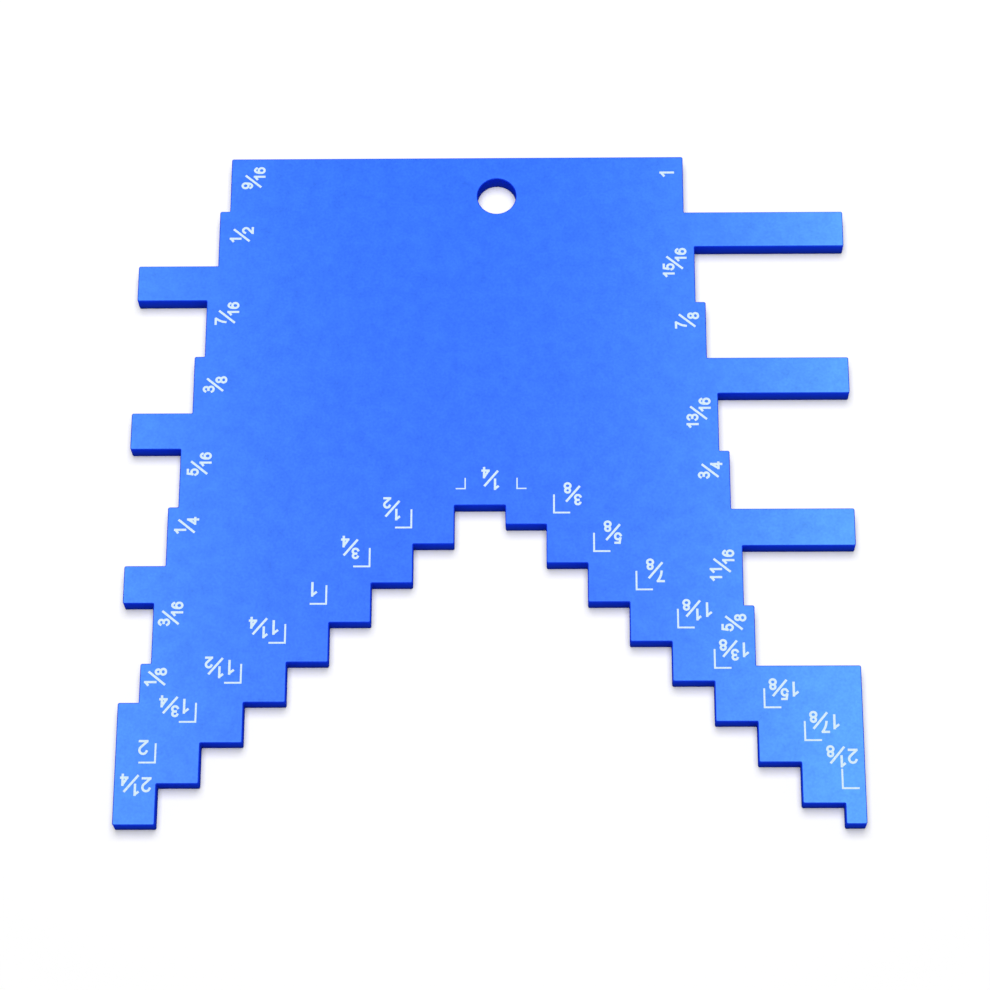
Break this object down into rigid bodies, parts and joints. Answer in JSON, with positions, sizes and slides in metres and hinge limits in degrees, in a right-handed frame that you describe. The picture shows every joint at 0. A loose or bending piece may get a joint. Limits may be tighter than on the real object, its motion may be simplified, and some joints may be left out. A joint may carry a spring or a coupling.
{
  "type": "table saw height gauge",
  "caption": "Flat blue anodised aluminium set-up gauge: a stepped arch for saw blade height, stepped sides with tabs for router bit depth, and a hanging hole.",
  "frame": {"origin": "on the back face of the plate, under the middle of its bounding box", "axes": "+X across the gauge from the left tabs to the right tabs, +Y from the two feet to the hanging hole, +Z out of the marked face"},
  "size_m": [0.1126, 0.1108, 0.003],
  "materials": {
    "blue_anodised_aluminium": "fine bead-blasted and dyed blue, satin, with lightly broken edges",
    "white_marking": "flat white scale marking, a few hundredths of a millimetre thick"
  },
  "bodies": {
    "root": {"gauge_plate": "blue_anodised_aluminium"}
  },
  "joints": []
}
